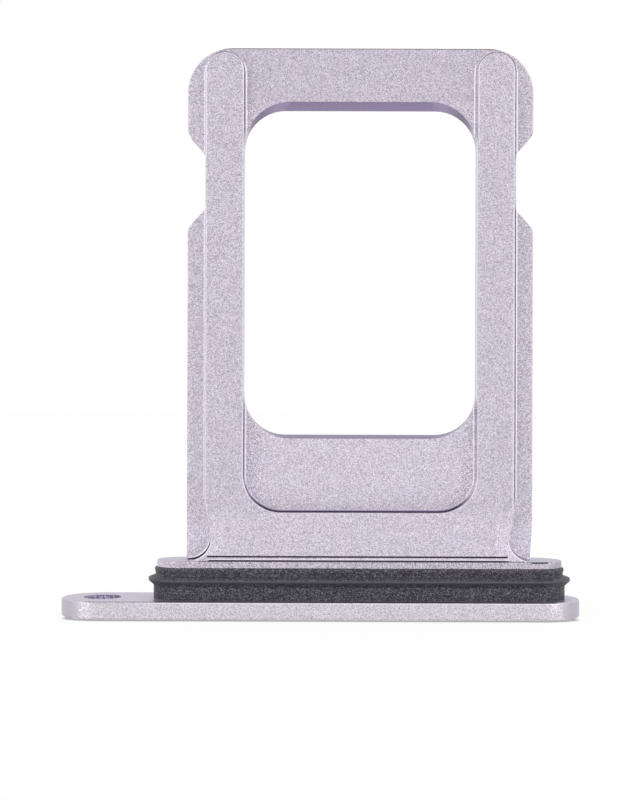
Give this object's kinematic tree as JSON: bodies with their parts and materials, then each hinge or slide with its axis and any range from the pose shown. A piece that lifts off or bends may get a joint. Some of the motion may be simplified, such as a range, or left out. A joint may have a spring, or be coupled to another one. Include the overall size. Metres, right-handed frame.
{
  "type": "sim card tray",
  "caption": "Card tray for a telephone: an oblong door with a pin hole, a root with a rubber ring seal, and a flat frame with raised runners round a window.",
  "frame": {"origin": "centre of the door's flat outer face, which the tray stands on", "axes": "+X along the door, away from the end with the pin hole; +Z from the door to the tip of the frame; +Y through the thickness, from the face with the runners to the face with the card seat"},
  "size_m": [0.0174, 0.0028, 0.0191],
  "materials": {
    "lilac_aluminium": "bead blasted and anodised pale lilac",
    "dark_rubber": "matt, fine grained"
  },
  "bodies": {
    "root": {"tray": "lilac_aluminium", "seal": "dark_rubber"}
  },
  "joints": []
}
